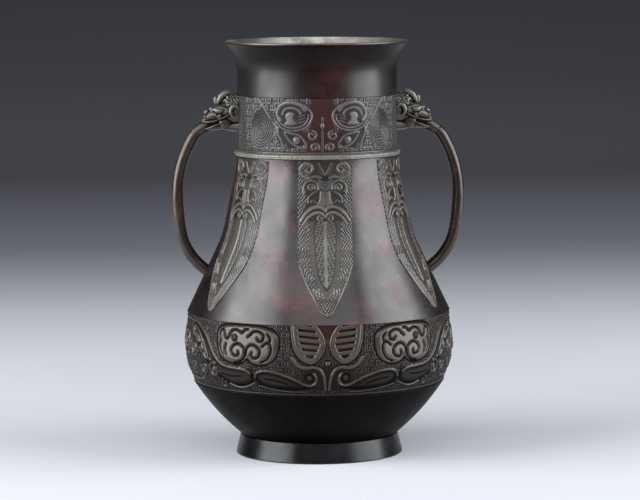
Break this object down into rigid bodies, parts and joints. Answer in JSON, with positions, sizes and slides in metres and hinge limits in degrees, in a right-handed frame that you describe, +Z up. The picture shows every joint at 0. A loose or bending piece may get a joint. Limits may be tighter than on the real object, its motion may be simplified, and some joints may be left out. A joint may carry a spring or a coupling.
{
  "type": "bronze hu vessel",
  "caption": "Cast bronze hu vase: pear-shaped body on a spreading foot, flared mouth, relief bands of masks and hanging blades, loop handles held in the jaws of beast heads.",
  "frame": {"origin": "centre of the foot ring's resting plane", "axes": "+Z up along the vessel's axis, front of the ornament towards -Y, handles on +X and -X"},
  "size_m": [0.2124, 0.1958, 0.3016],
  "materials": {
    "body_bronze": "aged cast bronze, dark brown patina with worn red-brown patches",
    "neck_bronze": "aged cast bronze, grey-green patina over brown",
    "rib_bronze": "aged cast bronze, pale solder-like surface",
    "foot_bronze": "aged cast bronze, dark blue-grey patina, worn edge",
    "base_bronze": "aged cast bronze, dark and dull",
    "head_bronze": "aged cast bronze, grey-green patina",
    "bar_bronze": "aged cast bronze, smooth warm brown",
    "pin_bronze": "aged bronze, hammered over"
  },
  "bodies": {
    "root": {"body": "body_bronze", "neck_collar": "neck_bronze", "neck_rib": "rib_bronze", "foot_ring": "foot_bronze", "base_plate": "base_bronze", "left_beast_head": "head_bronze", "right_beast_head": "head_bronze", "left_handle_bar": "bar_bronze", "right_handle_bar": "bar_bronze", "upper_handle_pins": "pin_bronze", "lower_handle_pins": "pin_bronze"}
  },
  "joints": []
}
